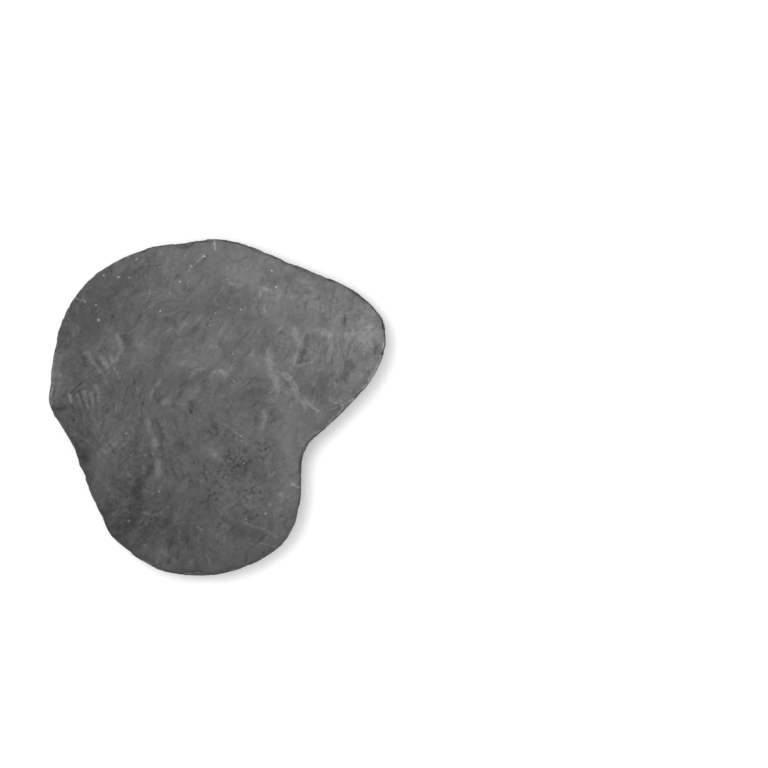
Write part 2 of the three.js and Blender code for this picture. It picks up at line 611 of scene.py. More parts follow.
columns = np.arange(COLUMNS)
onward = (columns + 1) % COLUMNS
side_faces = []
for level in range(len(rings) - 1):
    low, high = level * COLUMNS, (level + 1) * COLUMNS
    side_faces.append(np.column_stack([low + columns, low + onward, high + onward, high + columns]))
side_faces = np.concatenate(side_faces)
top_faces = numbered(face_triangles, (len(rings) - 1) * COLUMNS, face_start)
under_faces = numbered(bed_triangles, 0, bed_start)[:, ::-1]

all_faces = side_faces.tolist() + top_faces.tolist() + under_faces.tolist()
skin = bpy.data.meshes.new("slate_slab_stone")
skin.from_pydata((points * MM).tolist(), [], all_faces)
skin.validate()
skin.shade_smooth()
skin.set_sharp_from_angle(angle=SHARP_ANGLE)
slab = bpy.data.objects.new("slate_slab_stone", skin)
bpy.context.scene.collection.objects.link(slab)
skin.calc_loop_triangles()
print(len(skin.loop_triangles), "triangles in all")

# %% [markdown]
# ## Light and dark on the face
#
# The slab is a plain neutral grey, but never even. It is darker at the lower left and paler towards the
# rounded nose. These broad changes are laid down as a value on each point of the skin, like thin washes
# of paint: one long gradient, a few soft patches and some clouds. The material reads the value and adds
# the fine grain.
# All tones here are in steps of 1/255, the steps of a screen, because those are easy to judge.

# %% Broad tones on the walking face
GRADIENT = 0.085  # steps lighter for each mm towards the nose
GRADIENT_TURN = math.radians(38.5)  # the direction of the nose
CLOUD_TONE = 3.5  # steps lighter or darker in the clouds that lie over it all
# middle, radii in mm, lean in degrees, steps lighter or darker
TONE_PATCHES = (
    ((190, 96), (32, 22), 0, 12),
    ((96, 138), (46, 20), -12, 11),
    ((28, 172), (30, 20), 0, 10),
    ((10, 133), (24, 15), 0, -9),
    ((68, 52), (11, 26), 35, 8),
    ((96, 18), (10, 30), 38, 5),
    ((134, 78), (24, 20), 0, 4),
    ((136, 24), (26, 18), -20, -10),
    ((-176, 124), (46, 44), 30, -13),
    ((-120, 166), (44, 24), 25, -10),
    ((-210, 42), (9, 32), -8, 18),
    ((-150, 62), (34, 20), 0, 7),
    ((-92, 84), (34, 22), 20, 6),
    ((-211, -3), (9, 9), 0, -7),
    ((-194, -10), (10, 9), 0, 5),
    ((-172, -60), (16, 20), 0, -11),
    ((-106, -78), (12, 38), -8, -9),
    ((-122, -146), (40, 30), 0, -15),
    ((-44, -162), (40, 22), 0, -7),
    ((-92, -30), (10, 26), 10, 5),
    ((-142, -48), (12, 40), -35, 9),
    ((-74, -82), (7, 16), 0, 7),
    ((-4, -62), (16, 12), 0, 10),
    ((28, -78), (30, 16), -20, -14),
    ((8, -30), (26, 14), 0, -5),
    ((52, 22), (18, 16), 0, -6),
    ((92, -80), (14, 62), -4, 10),
    ((44, -160), (26, 16), 0, -10),
    ((-18, 60), (46, 26), 0, 4),
)


def broad_tone(x, y):
    """The slow changes of tone over the face."""
    towards_nose = math.cos(GRADIENT_TURN) * x + math.sin(GRADIENT_TURN) * y
    tone = GRADIENT * towards_nose
    for middle, radii, lean, steps in TONE_PATCHES:
        tone += steps * soft_patch(x, y, middle, radii, lean)
    return tone + CLOUD_TONE * (cloud(x, y, 70.0, 50, 2) + cloud(x, y, 26.0, 51, 2))


# %% [markdown]
# ## Strokes and smears
#
# Closer up the face is covered with short marks: pale hackles where the split ran unevenly, dark stains
# and hollows beside them, whose darkness is partly painted shade on the flanks of the hackles, and
# hundreds of soft smears from years of rubbing. The larger ones are listed as strokes along a few points.
# The small ones are scattered by chance, and they lean with a slowly turning direction, so that the face
# looks combed differently from place to place.
#
# Paint with a soft brush looks soft, and stone doesn't. So only the closeness to each stroke is kept
# here, and the material later compares it with fine grain: a mark then has a crumbly edge, and a weak
# one breaks up into flecks.

# %% Marks listed one by one
# the points that a mark runs through in mm, half its width in mm, and its strength, 1 for a full one
PALE_MARKS = (
    (((64, 76), (68, 62), (75, 57), (81, 45)), 1.7, 0.95),
    (((68, 63), (72, 50), (77, 37), (81, 22)), 6.8, 0.88),
    (((84, 45), (92, 43)), 4.2, 0.85),
    (((95, 41), (102, 30), (108, 18), (119, 5), (131, -4)), 1.7, 0.9),
    (((92, 38), (99, 25), (107, 12), (115, 4)), 5.8, 0.82),
    (((60, 48), (52, 30), (56, 14)), 2.2, 0.45),
    (((94, 49), (100, 60), (104, 71), (107, 84)), 4.8, 0.92),
    (((104, 88), (103, 102)), 5.0, 0.85),
    (((102, 53), (111, 56), (126, 60), (130, 68)), 1.8, 0.75),
    (((84, 104), (76, 95), (77, 83), (84, 79)), 1.9, 0.65),
    (((133, 99), (147, 97)), 6.2, 0.9),
    (((150, 84), (150, 64)), 3.0, 0.5),
    (((167, 97), (170, 86), (166, 70)), 3.2, 0.7),
    (((177, 80), (174, 66)), 5.0, 0.7),
    (((188, 98), (190, 82)), 4.6, 0.6),
    (((196, 106), (202, 92), (198, 76)), 6.5, 0.65),
    (((186, 130), (192, 124)), 5.0, 0.6),
    (((-86, 15), (-82, 27), (-74, 33)), 2.5, 0.9),
    (((-73, 33), (-60, 23)), 4.4, 0.5),
    (((-69, 6), (-63, 10), (-62, 6)), 4.4, 0.95),
    (((-62, 7), (-43, 4)), 3.0, 0.6),
    (((-90, -15), (-88, -28), (-82, -38), (-80, -47)), 4.0, 0.85),
    (((-80, -46), (-81, -56)), 3.6, 0.6),
    (((-95, -62), (-96, -82)), 3.2, 0.55),
    (((-77, -70), (-76, -82), (-78, -90)), 4.2, 1.0),
    (((-66, -92), (-76, -108), (-84, -112), (-96, -107)), 2.4, 0.75),
    (((-98, -100), (-95, -86)), 2.6, 0.5),
    (((-95, -137), (-84, -140), (-73, -138), (-64, -129)), 3.0, 0.8),
    (((-103, -158), (-91, -150)), 2.6, 0.7),
    (((-100, -176), (-82, -185), (-66, -192), (-52, -202)), 4.0, 0.6),
    (((-34, 39), (-27, 49), (-14, 52)), 3.4, 0.85),
    (((-2, 46), (6, 47), (12, 44)), 4.2, 0.9),
    (((-30, -38), (-37, -56)), 2.2, 0.6),
    (((62, -5), (64, -15), (59, -26)), 2.5, 1.0),
    (((73, 10), (67, -5)), 2.6, 0.55),
    (((16, 194), (13, 176), (14, 163), (30, 158), (52, 159)), 2.2, 0.55),
    (((52, 159), (68, 153), (80, 146), (98, 143)), 2.2, 0.7),
    (((-40, 176), (-29, 186), (-16, 199)), 1.9, 0.8),
    (((-5, 220), (-2, 206)), 2.4, 0.95),
    (((-76, 117), (-66, 121), (-55, 123)), 2.8, 0.7),
    (((-50, 98), (-44, 108), (-36, 117), (-26, 121)), 2.6, 0.6),
    (((-130, 92), (-127, 84), (-124, 76), (-126, 66)), 3.8, 0.85),
    (((82, -128), (86, -119), (83, -110)), 2.6, 0.65),
    (((-70, -164), (-58, -152), (-44, -149), (-30, -151), (-19, -160)), 1.9, 0.7),
    (((36, -148), (48, -156), (62, -159), (80, -170)), 2.0, 0.75),
    (((98, -100), (110, -105)), 2.4, 1.0),
    (((-186, -34), (-178, -38), (-168, -43)), 3.8, 0.8),
    (((-182, -46), (-172, -49)), 3.0, 0.5),
    (((-150, 66), (-146, 58), (-142, 50)), 3.2, 0.84),
    (((-139, 67), (-135, 60)), 3.4, 0.75),
    (((-166, 72), (-160, 58), (-152, 46)), 3.0, 0.8),
    (((-178, 66), (-172, 70), (-167, 74)), 2.6, 0.6),
    (((-133, 52), (-128, 40)), 3.4, 0.8),
    (((-148, 44), (-144, 33)), 3.0, 0.8),
    (((-184, 58), (-180, 48)), 2.6, 0.6),
    (((-182, 17), (-178, 8), (-176, 1)), 2.6, 0.95),
    (((-173, 20), (-171, 10), (-168, 1)), 3.2, 1.05),
    (((-164, 18), (-162, 10), (-161, 1)), 3.4, 1.05),
    (((-159, 28), (-155, 23), (-154, 9)), 3.0, 0.9),
    (((-163, 0), (-163, -14)), 2.8, 0.65),
    (((-152, -4), (-151, -20)), 2.6, 0.45),
    (((-191, 17), (-189, 7)), 2.4, 1.0),
    (((-204, 42), (-192, 46)), 3.8, 0.5),
    (((-131, 2), (-129, -8)), 2.2, 0.7),
    (((-112, -8), (-122, -26), (-134, -48), (-146, -68)), 3.0, 0.6),
    (((-104, -16), (-114, -36), (-120, -60), (-124, -78)), 2.6, 0.55),
    (((-126, -26), (-142, -46), (-152, -66)), 3.2, 0.55),
    (((-112, -62), (-118, -78), (-116, -92)), 2.4, 0.6),
    (((-6, -60), (4, -64)), 6.5, 0.65),
    (((40, 92), (54, 84), (62, 88)), 2.6, 0.5),
    (((-96, 124), (-84, 134), (-72, 138)), 2.0, 0.45),
    (((-124, 118), (-112, 132), (-104, 146)), 2.0, 0.5),
    (((-136, 122), (-126, 134), (-116, 148)), 1.8, 0.45),
)
# dark marks: stains, and painted shade on the flanks of the pale hackles
DARK_MARKS = (
    (((118, 91), (114, 73), (107, 60)), 4.0, 0.85),
    (((87, 98), (80, 95)), 5.4, 0.6),
    (((92, 33), (95, 28)), 2.6, 0.85),
    (((173, 56), (167, 38)), 6.4, 1.1),
    (((204, 90), (208, 80), (205, 70)), 3.4, 0.8),
    (((193, 48), (198, 40)), 3.8, 0.6),
    (((-81, 16), (-78, 8), (-72, 14)), 5.0, 0.65),
    (((-80, -17), (-74, -26)), 4.6, 0.8),
    (((-71, -36), (-72, -52)), 4.2, 0.7),
    (((-86, -76), (-92, -89), (-102, -97)), 3.4, 0.95),
    (((-97, -98), (-106, -108), (-102, -116)), 5.4, 0.95),
    (((-66, 116), (-57, 110)), 6.4, 0.7),
    (((-119, 90), (-113, 84)), 4.4, 0.8),
    (((-5, -22), (0, -30)), 5.0, 0.5),
    (((-34, 8), (-33, -6)), 3.6, 0.7),
    (((14, -54), (17, -60)), 4.2, 0.6),
    (((50, -8), (52, -18)), 4.6, 0.65),
    (((72, -4), (73, -16)), 3.2, 0.6),
    (((-186, -52), (-176, -58), (-170, -70)), 6.0, 0.8),
    (((18, 34), (36, 38), (56, 36)), 3.0, 0.55),
    (((30, 152), (12, 148), (2, 140)), 4.0, 0.5),
    (((-174, 65), (-171, 56)), 4.4, 0.8),
    (((-137, 27), (-137, 12)), 2.0, 0.5),
    (((-188, 1), (-186, -16)), 2.4, 0.75),
    (((-209, -3), (-199, -1)), 3.6, 0.8),
    (((-104, -40), (-106, -62)), 5.0, 0.6),
    (((-132, -14), (-120, -4)), 2.0, 0.5),
)


# %% How close a point is to a mark
MARK_WOBBLE = 1.1  # mm that a mark strays from its route
UNEVENNESS = 0.4  # share by which its strength comes and goes


def closeness(x, y, route, half_width):
    """1 on a route through a few points, a half at its half width, and 0 at twice that."""
    nearest = np.full(len(x), np.inf)
    for (start_x, start_y), (end_x, end_y) in zip(route, route[1:]):
        run_x, run_y = end_x - start_x, end_y - start_y
        share = ((x - start_x) * run_x + (y - start_y) * run_y) / (run_x**2 + run_y**2)
        share = np.clip(share, 0.0, 1.0)
        gap = np.hypot(x - start_x - share * run_x, y - start_y - share * run_y)
        nearest = np.minimum(nearest, gap)
    return np.clip(1.0 - 0.5 * nearest / half_width, 0.0, 1.0)


def hand_marks(x, y, marks):
    """How close each point is to a mark, wobbling and fading a little so that no mark is ruled."""
    wobble_x = x + MARK_WOBBLE * cloud(x, y, 11.0, 56, 2)
    wobble_y = y + MARK_WOBBLE * cloud(x, y, 11.0, 57, 2)
    uneven = 1.0 + UNEVENNESS * cloud(x, y, 14.0, 61)
    field = np.zeros(len(x))
    for route, half_width, strength in marks:
        field = np.maximum(field, strength * closeness(wobble_x, wobble_y, route, half_width))
    return field * uneven


# %% Small smears scattered over the face
SMEARS = 620
SMEAR_REACH = 220.0  # mm either way from the middle
SMEAR_LEAN = 74.0  # degrees, and how far the lean turns from place to place
SMEAR_TURN = 95.0
SMEAR_WARP = 2.6  # mm
SMEAR_LIMIT = 36.0  # mm from its spot past which a smear is as good as gone


def smears(x, y, seed):
    """Closeness to small smears, which lean with a slowly turning direction."""
    own_dice = np.random.default_rng(seed)
    spots = own_dice.uniform(-SMEAR_REACH, SMEAR_REACH, (SMEARS, 2))
    leans = SMEAR_LEAN + SMEAR_TURN * cloud(spots[:, 0], spots[:, 1], 130.0, 58)
    warped_x = x + SMEAR_WARP * cloud(x, y, 16.0, 59)
    warped_y = y + SMEAR_WARP * cloud(x, y, 16.0, 60)
    field = np.zeros(len(x))
    for (spot_x, spot_y), lean in zip(spots, leans):
        radii = (own_dice.uniform(4.0, 16.0), own_dice.uniform(1.4, 3.8))
        strength = own_dice.uniform(0.25, 0.72)
        near = np.maximum(np.abs(warped_x - spot_x), np.abs(warped_y - spot_y)) < SMEAR_LIMIT
        patch = soft_patch(warped_x[near], warped_y[near], (spot_x, spot_y), radii, lean)
        field[near] = np.maximum(field[near], strength * patch)
    return field


# %% Tones of the broken edge
EDGE_TONE = 5.0  # steps above the middle grey, because a fresh break is paler than a walked face
PROUD_TONE = 5.5  # steps paler for each mm that a layer stands out between its neighbours
LEAST_PROUD = -1.0
MOST_PROUD = 1.8
PIECE_TONE = 4.0  # steps between the palest broken piece of a layer and the darkest
EDGE_CLOUD_TONE = 6.0
FOOT_TONE = -2.5  # a layer's foot is a little darker than its head
HEAD_TONE = 3.5
SPLIT_SHADE = -24.0  # the back of a closed ledge is dark, and an open one gets full light
LEDGE_OPENS = 0.2  # mm that the next layer stands back where a ledge begins to open
LEDGE_OPEN = 1.1  # the same for a fully open one
RIM_SHADE = -2.0  # the very rim of the walking face


def edge_tones():
    """Tones for the side's rings: layers that stand proud are worn pale, ledge backs are dark."""
    rows = [np.full(COLUMNS, EDGE_TONE)]
    for layer in range(LAYERS):
        neighbours = [set_back[n] for n in (layer - 1, layer + 1) if 0 <= n < LAYERS]
        proud = np.clip(np.mean(neighbours, axis=0) - set_back[layer], LEAST_PROUD, MOST_PROUD)
        piece = PIECE_TONE * (broken_line(6.0, 44.0, 950 + 7 * layer) - 0.5)
        clouds = EDGE_CLOUD_TONE * cloud(rim_x, rim_y, 50.0, 900 + layer)
        tone = EDGE_TONE + PROUD_TONE * proud + piece + clouds
        rows += [tone + FOOT_TONE, tone + HEAD_TONE]
        if layer < LAYERS - 1:
            openness = soft_step(set_back[layer + 1] - set_back[layer], LEDGE_OPENS, LEDGE_OPEN)
            rows.append(SPLIT_SHADE * (1.0 - openness))
    rows.append(RIM_SHADE + broad_tone(rings[-1][:, 0], rings[-1][:, 1]))
    return np.concatenate(rows)


# %% Tones of the two faces
RIM_SHADE_REACH = 2.2  # mm
RIB_TONE = 3.0  # steps lighter on the crest of a rib
BED_CLOUD_TONE = 10.0
BED_LEVEL_TONE = -4.0  # for each mm above the ground

face_x, face_y = face_inner[:, 0], face_inner[:, 1]
rim_shade = RIM_SHADE * np.exp(-face_to_rim / RIM_SHADE_REACH)
face_tone = broad_tone(face_x, face_y) + RIB_TONE * ribs(face_x, face_y) + rim_shade
bed_clouds = cloud(bed_inner[:, 0], bed_inner[:, 1], 70.0, 55, 3)
bed_tone = BED_CLOUD_TONE * bed_clouds + BED_LEVEL_TONE * bed_z
print(f"tones on the face run from {face_tone.min():.0f} to {face_tone.max():.0f}")

# %% Where the rim of the face is worn, and where it is darkened with painted shade
WEAR_AND_SHADE_REACH = 7.0  # mm in from the rim
# bearing in degrees, and how worn and pale the rim is there (up to 1), or how dark with painted shade
# (down to -1)
RIM_WEAR_AND_SHADE = (
    (-20, 0.7), (15, 0.9), (30, -0.4), (60, -0.8), (95, 0.1), (115, -0.7), (150, -0.3),
    (163, 0.8), (178, 0.9), (188, -0.8), (240, -0.7), (290, -0.5), (325, 0.2),
)

side_points = len(rings) * COLUMNS
top_start = side_points - COLUMNS  # the walking face begins with the last ring
top_end = side_points + len(face_inner)
top_x, top_y = points[top_start:top_end, 0], points[top_start:top_end, 1]
rim_bearings = np.degrees(np.arctan2(top_y, top_x))
bearings, wear = zip(*RIM_WEAR_AND_SHADE)
to_rim = np.concatenate([np.zeros(COLUMNS), face_to_rim])
nearness = np.clip(1.0 - to_rim / WEAR_AND_SHADE_REACH, 0.0, 1.0)
rim_wear_and_shade = np.interp(rim_bearings, bearings, wear, period=360.0) * nearness

# %% Store the tones and the kinds of surface on the skin
# middle and radii in mm of the clusters of pits, which run in a bent band
PIT_CLUSTERS = (
    ((-2, -30), (16, 12)), ((56, -54), (18, 16)), ((28, -70), (24, 17)), ((14, -88), (24, 13)),
    ((-14, -88), (11, 20)), ((-3, -117), (15, 15)), ((44, -112), (25, 16)), ((45, -140), (13, 9)),
)
FAINT_PITS = (((-112, -142), (50, 36)), ((150, 130), (56, 28), -30))
FAINTNESS = 0.55
SLANTED_PLACES = (((-138, -58), (34, 52), -20), ((-98, 124), (44, 30), 30))
COMBED_PLACES = (((158, 82), (52, 38)), ((-90, -45), (34, 50)), ((78, -20), (24, 26)))


def on_top(values):
    """Puts the walking face's values in their place among the points of the whole skin."""
    everywhere = np.zeros(len(points))
    everywhere[top_start:top_end] = values
    return everywhere


def store(name, values):
    """Keeps one number for each point of the skin, under a name that the material can read."""
    layer = skin.attributes.new(name, "FLOAT", "POINT")
    layer.data.foreach_set("value", values.astype(np.float32))


def patches(*several):
    """The strongest of several soft patches, for every point of the skin."""
    return on_top(np.max([soft_patch(top_x, top_y, *patch) for patch in several], axis=0))


broken_values = np.zeros(len(points))
broken_values[COLUMNS:top_start] = 1.0
pale_values = np.maximum(hand_marks(top_x, top_y, PALE_MARKS), smears(top_x, top_y, 90))
dark_values = np.maximum(hand_marks(top_x, top_y, DARK_MARKS), smears(top_x, top_y, 91))
pitted_values = np.maximum(patches(*PIT_CLUSTERS), FAINTNESS * patches(*FAINT_PITS))
store("tone", np.concatenate([edge_tones(), face_tone, bed_tone]))
store("broken", broken_values)
store("walked", on_top(1.0))
store("pale", on_top(pale_values))
store("dark", on_top(dark_values))
store("worn_and_shaded_rim", on_top(rim_wear_and_shade))
store("slanted", patches(*SLANTED_PLACES))
store("combed", patches(*COMBED_PLACES))
store("pitted", pitted_values)
pale_share, dark_share = np.mean(pale_values > 0.5), np.mean(dark_values > 0.5)
print(f"pale marks cover {pale_share:.0%} of the face, and dark ones {dark_share:.0%}")

# %% [markdown]
# ## A flat map of the skin
#
# To carry the finish to other programs it has to be baked: painted once onto a flat picture. That
# needs a map from the skin to the picture. Blender can unwrap a mesh by itself, but on a side with
# thousands of tiny ledges it would cut thousands of islands. The slab itself shows the better map:
# the two faces lie flat as they are, and the edge unrolls into two long strips.

# %% Lay out the map
FACE_WIDTH = 0.62  # this and the widths and heights below are shares of the picture's width
BED_WIDTH = 0.34
STRIPS = 2
STRIP_WIDTH = 0.98
STRIP_HEIGHT = 0.15
MARGIN = 0.01
STRIP_SPACING = STRIP_HEIGHT + 2.0 * MARGIN
widest = max(cad_high.x - cad_low.x, cad_high.y - cad_low.y) / MM

levels = np.array([np.linalg.norm(high - low, axis=1).mean() for low, high in zip(rings, rings[1:])])
level_share = np.concatenate([[0.0], np.cumsum(levels)]) / levels.sum()
strip_columns = COLUMNS // STRIPS


def strip_place(column, level, step):
    """Map coordinates on the unrolled edge; step is 1 on the far side of a column."""
    across = MARGIN + STRIP_WIDTH * ((column % strip_columns) + step) / strip_columns
    up = MARGIN + STRIP_SPACING * (column // strip_columns) + STRIP_HEIGHT * level_share[level]
    return np.column_stack([across, up])


def flat_place(triangles, middle_x, middle_y, width, mirror):
    """Map coordinates on one of the two faces."""
    corners = points[triangles.ravel(), :2] / widest * width
    return np.column_stack([middle_x + mirror * corners[:, 0], middle_y + corners[:, 1]])


strip_map = []
for level in range(len(rings) - 1):
    corners = [strip_place(columns, level, 0), strip_place(columns, level, 1),
               strip_place(columns, level + 1, 1), strip_place(columns, level + 1, 0)]
    strip_map.append(np.stack(corners, axis=1).reshape(-1, 2))
face_middle = MARGIN + FACE_WIDTH / 2
bed_middle = 1.0 - MARGIN - BED_WIDTH / 2
map_points = np.concatenate([
    *strip_map,
    flat_place(top_faces, face_middle, 1.0 - face_middle, FACE_WIDTH, 1.0),
    flat_place(under_faces, bed_middle, bed_middle, BED_WIDTH, -1.0),
])
flat_map = skin.uv_layers.new(name="OFBake")
flat_map.data.foreach_set("uv", map_points.astype(np.float32).ravel())
print(f"the map runs from {map_points.min():.2f} to {map_points.max():.2f}")

# %% [markdown]
# ## The slate finish
#
# The finish is a net of nodes. The middle grey plus the stored tone plus several kinds of fine pattern
# gives the colour. All of it is added up in the even steps that a screen shows, and one power at the
# end turns the sum into the shader's own linear light. Patterns that belong to the two faces fade out
# on the broken edge, the fine lines of the layers show only there, and broad swirls of the riven
# stone show only underneath, where nobody has rubbed them away.

# %% Small helpers for the net of nodes
slate = bpy.data.materials.new("riven_slate")
slate.use_nodes = True
net = slate.node_tree
shader = net.nodes["Principled BSDF"]


def put(value, socket):
    """Sets a socket, or links it if the value comes from another node."""
    if isinstance(value, bpy.types.NodeSocket):
        net.links.new(value, socket)
    else:
        socket.default_value = value


def calculate(operation, first, second=0.0, clamp=False):
    """One arithmetic step."""
    step = net.nodes.new("ShaderNodeMath")
    step.operation = operation
    step.use_clamp = clamp
    put(first, step.inputs[0])
    put(second, step.inputs[1])
    return step.outputs[0]


def sum_of(*terms):
    """Adds up any number of sockets and numbers."""
    total = terms[0]
    for term in terms[1:]:
        total = calculate("ADD", total, term)
    return total


def times(first, *others):
    """Multiplies any number of sockets and numbers."""
    product = first
    for other in others:
        product = calculate("MULTIPLY", product, other)
    return product


def stored(name):
    """A value that was kept on the skin's points."""
    reader = net.nodes.new("ShaderNodeAttribute")
    reader.attribute_name = name
    return reader.outputs["Fac"]


def ramp(value, low, high, start=0.0, end=1.0):
    """Goes smoothly from start to end while value goes from low to high."""
    step = net.nodes.new("ShaderNodeMapRange")
    step.interpolation_type = "SMOOTHSTEP"
    put(value, step.inputs["Value"])
    step.inputs["From Min"].default_value = low
    step.inputs["From Max"].default_value = high
    step.inputs["To Min"].default_value = start
    step.inputs["To Max"].default_value = end
    return step.outputs["Result"]


GIVE_A_NUMBER = ("DISTANCE", "DOT_PRODUCT")


def vector_step(operation, first, second):
    """One step with places: a sum, difference, distance or product, or a place scaled by a number."""
    step = net.nodes.new("ShaderNodeVectorMath")
    step.operation = operation
    put(first, step.inputs[0])
    put(second, step.inputs["Scale" if operation == "SCALE" else 1])
    return step.outputs["Value" if operation in GIVE_A_NUMBER else "Vector"]


# %% [markdown]
# Two bent kinds of place make the patterns natural. On the faces, places are pushed about by very
# large clouds, so that a pattern drawn out along one direction turns slowly from region to region. On
# the edge, places move up and down a little, so that the lines of the layers wave.

# %% Grain of any size and shape
SEED_SHIFT = (0.37, 0.53)  # metres along x and y from one seed's pattern to the next one's

place = net.nodes.new("ShaderNodeTexCoord").outputs["Object"]


def mapped(at, size, drawn_out, tall, lean, seed):
    """Places measured in grains of a given width, length along one direction, and height."""
    mapping = net.nodes.new("ShaderNodeMapping")
    mapping.vector_type = "TEXTURE"
    put(at, mapping.inputs["Vector"])
    mapping.inputs["Scale"].default_value = ((drawn_out or size) * MM, size * MM, (tall or size) * MM)
    mapping.inputs["Rotation"].default_value = (0.0, 0.0, math.radians(lean))
    mapping.inputs["Location"].default_value = (seed * SEED_SHIFT[0], seed * SEED_SHIFT[1], 0.0)
    return mapping.outputs["Vector"]


def noise_node(at, size, detail=2.0, drawn_out=None, tall=None, lean=0.0, swirl=0.0, seed=0.0):
    """A cloudy texture, drawn out along one direction and swirled if asked."""
    pattern = net.nodes.new("ShaderNodeTexNoise")
    pattern.inputs["Scale"].default_value = 1.0
    pattern.inputs["Detail"].default_value = detail
    pattern.inputs["Distortion"].default_value = swirl
    put(mapped(at, size, drawn_out, tall, lean, seed), pattern.inputs["Vector"])
    return pattern


def pushed(at, size, distance, seed):
    """Places pushed about by clouds `size` mm wide, by up to about a quarter of the given vector."""
    pattern = noise_node(at, size, seed=seed)
    from_middle = vector_step("SUBTRACT", pattern.outputs["Color"], (0.5, 0.5, 0.5))
    return vector_step("ADD", at, vector_step("MULTIPLY", from_middle, distance))


BEND = 0.12  # metres, as is the next one
BED_WAVE = 0.006

bent = pushed(place, 130.0, (BEND, BEND, 0.0), 20.0)
bedded = pushed(place, 55.0, (0.0, 0.0, BED_WAVE), 21.0)


def grain(size, at=place, **shape):
    """Cloudy grain about `size` mm wide, from about -1 to 1."""
    pattern = noise_node(at, size, **shape)
    return times(calculate("SUBTRACT", pattern.outputs["Fac"], 0.5), 4.0)


FEATHER_DROP = 0.84  # share of a feather's width after which it drops
FEATHER_MIDDLE = 0.45


def feathers(size, lines, **shape):
    """Smears with one crisp side: each rises slowly and then drops at once. From about -0.5 to 0.5."""
    rising = calculate("FRACT", times(grain(size, at=bent, **shape), lines))
    dropping = ramp(rising, FEATHER_DROP, 1.0, 1.0, 0.0)
    return calculate("SUBTRACT", times(rising, dropping), FEATHER_MIDDLE)


RAGGED_SIZE = 0.6  # shares of a facet's width: the size of its border's raggedness, and its reach
RAGGED_REACH = 1.1


def facets(width, drawn_out, lean, seed):
    """Patches of one tone each, with crisp ragged borders. From about -0.5 to 0.5."""
    cells = net.nodes.new("ShaderNodeTexVoronoi")
    cells.inputs["Scale"].default_value = 1.0
    push = RAGGED_REACH * width * MM
    ragged = pushed(bent, RAGGED_SIZE * width, (push, push, 0.0), seed + 1.0)
    put(mapped(ragged, width, drawn_out, None, lean, seed), cells.inputs["Vector"])
    return calculate("SUBTRACT", cells.outputs["Color"], 0.5)


def crumbled(closeness_value, roughness, low, high):
    """Turns closeness to a mark into the mark itself, with an edge that the roughness breaks up."""
    return ramp(calculate("ADD", closeness_value, roughness), low, high)


# %% [markdown]
# Tiny pale bruises, hairline scratches and fine grooves are sharper than the skin's net of points, so
# they are drawn in the material. A bruise is everything nearer to a point than its radius. A scratch
# or a groove is everything nearer to a short straight line than half its width: the nearest point on
# the line is found first. The places they are measured from are pushed about a little, so that no
# line is ruled and no bruise quite round.

# %% Bruises
BRUISE_STEPS = 50.0
BRUISE_CORE = 0.45  # share of the radius within which a bruise is at its palest
# places in mm on the face, radius in mm
BRUISES = (
    ((-147, 172), 2.0), ((-128, 170), 2.1), ((-114, 169), 1.5), ((-115, 196), 1.4), ((-104, 193), 1.5),
    ((-181, 142), 1.6), ((-173, 141), 1.7), ((-171, 137), 1.6), ((-157, 133), 2.4), ((-154, 114), 2.2),
    ((-74, 126), 1.4), ((-61, 149), 1.2), ((-48, 164), 1.8), ((-34, 184), 1.8), ((-17, 197), 2.0),
    ((-31, 215), 1.5), ((-3, 213), 1.5), ((72, 178), 2.0), ((77, 157), 1.9), ((-2, 123), 1.5),
    ((15, 130), 1.2), ((31, 127), 1.5), ((21, 70), 1.5), ((22, 34), 1.6), ((-6, 88), 1.3),
    ((-9, 107), 1.2), ((155, 6), 1.2), ((34, -73), 2.0), ((38, -145), 1.4), ((63, -138), 1.9),
    ((-114, -147), 1.5), ((-118, -34), 1.3), ((-75, -109), 1.5), ((-7, -180), 1.1), ((192, 70), 1.1),
    ((-1, 79), 1.3), ((31, -37), 1.3),
)
UNRULED = 0.004  # metres; places stray by up to about a quarter of it

unruled = pushed(place, 5.0, (UNRULED, UNRULED, 0.0), 9.0)
from_above = vector_step("MULTIPLY", unruled, (1.0 / MM, 1.0 / MM, 0.0))  # in mm, heights left out

bruises = 0.0
for (x, y), radius in BRUISES:
    away = vector_step("DISTANCE", from_above, (x, y, 0.0))
    bruises = sum_of(bruises, ramp(away, BRUISE_CORE * radius, radius, BRUISE_STEPS, 0.0))

# %% Scratches and grooves
# both ends in mm, half the width in mm, steps lighter
SCRATCHES = (
    ((10, -22), (39, -42), 0.55, 17), ((55, -176), (78, -182), 0.6, 20),
    ((95, -97), (108, -105), 0.7, 15), ((-184, 142), (-172, 138), 0.9, 24),
    ((-152, 129), (-136, 122), 0.6, 13), ((36, -150), (58, -157), 0.6, 15),
    ((-4, 219), (-1, 206), 0.7, 22), ((146, -3), (158, 1), 0.7, 20),
    ((70, 77), (76, 62), 0.6, 12), ((21, 74), (23, 66), 0.5, 15),
    ((-193, 20), (-189, 8), 0.8, 14), ((-36, 180), (-20, 195), 0.6, 12),
    ((196, 52), (188, 34), 0.7, 14), ((84, 172), (92, 160), 0.5, 9),
    ((-96, -74), (-93, -98), 0.5, 9), ((217, 83), (215, 73), 0.9, 50),
    ((65, 74), (68, 62), 0.8, 8), ((68, 62), (76, 57), 0.8, 8),
    ((76, 57), (82, 44), 0.8, 6), ((95, 41), (103, 28), 0.9, 10),
    ((103, 28), (108, 18), 0.7, 6), ((119, 4), (131, -4), 0.7, 4),
)
